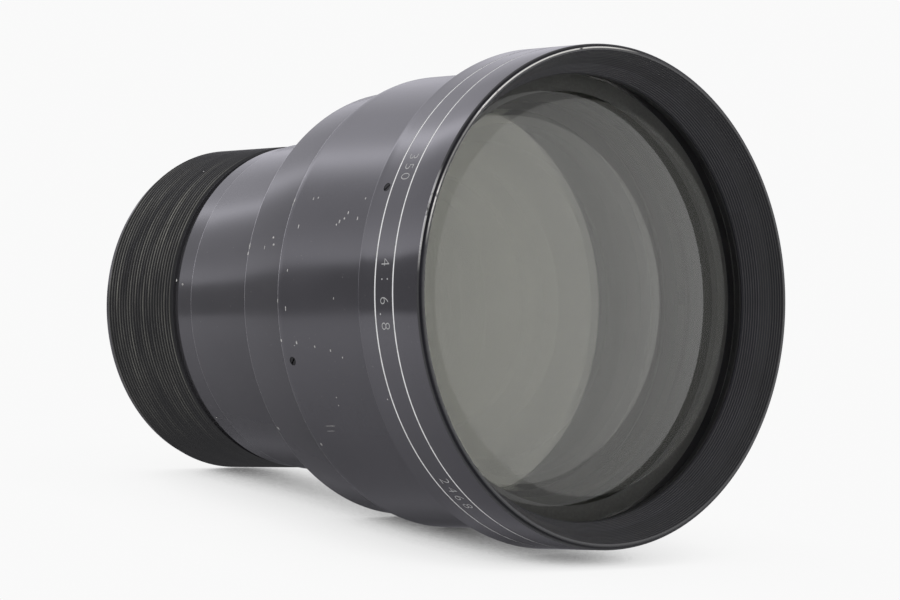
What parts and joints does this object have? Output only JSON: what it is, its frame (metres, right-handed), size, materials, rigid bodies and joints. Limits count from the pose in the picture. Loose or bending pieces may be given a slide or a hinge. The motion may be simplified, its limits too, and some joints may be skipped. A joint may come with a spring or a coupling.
{
  "type": "camera lens",
  "caption": "Large fixed-focus camera lens: wide front ring with a deep hood cone, stepped black barrel, long rear tube and a fine mounting thread.",
  "frame": {"origin": "on the optical axis, in the plane of the shoulder behind the middle section that seats on a mount plate", "axes": "+Z along the optical axis from the rear thread to the front glass, up as the lens stands on its rear end; +Y is the side that is up in the picture, where the lens lies on its side"},
  "size_m": [0.113, 0.113, 0.1341],
  "materials": {
    "black_ring": "glossy black anodised aluminium, worn bright along the lip",
    "black_barrel": "glossy black anodised aluminium with nicks along its edges",
    "black_tube": "glossy black anodised aluminium, rubbed along its rear edge",
    "worn_thread": "black anodised aluminium, thread crests worn to grey metal",
    "matt_black_inside": "matt black against stray light",
    "screw_steel": "blackened steel, slotted",
    "coated_glass": "polished optical glass with a faint coating"
  },
  "bodies": {
    "root": {"front_ring": "black_ring", "ring_set_screws": "screw_steel", "front_barrel": "black_barrel", "barrel_set_screws": "screw_steel", "front_retaining_ring": "matt_black_inside", "front_element": "coated_glass", "front_cell": "matt_black_inside", "second_retaining_ring": "matt_black_inside", "second_element": "coated_glass", "front_spacer": "matt_black_inside", "third_element": "coated_glass", "stop_plate": "matt_black_inside", "stop_clamp_ring": "matt_black_inside", "middle_barrel": "black_barrel", "rear_tube": "black_tube", "rear_cell": "matt_black_inside", "fourth_element": "coated_glass", "rear_spacer_a": "matt_black_inside", "fifth_element": "coated_glass", "rear_spacer_b": "matt_black_inside", "sixth_element": "coated_glass", "rear_spacer_c": "matt_black_inside", "seventh_element": "coated_glass", "rear_retaining_ring": "matt_black_inside", "mount_sleeve": "worn_thread"}
  },
  "joints": []
}
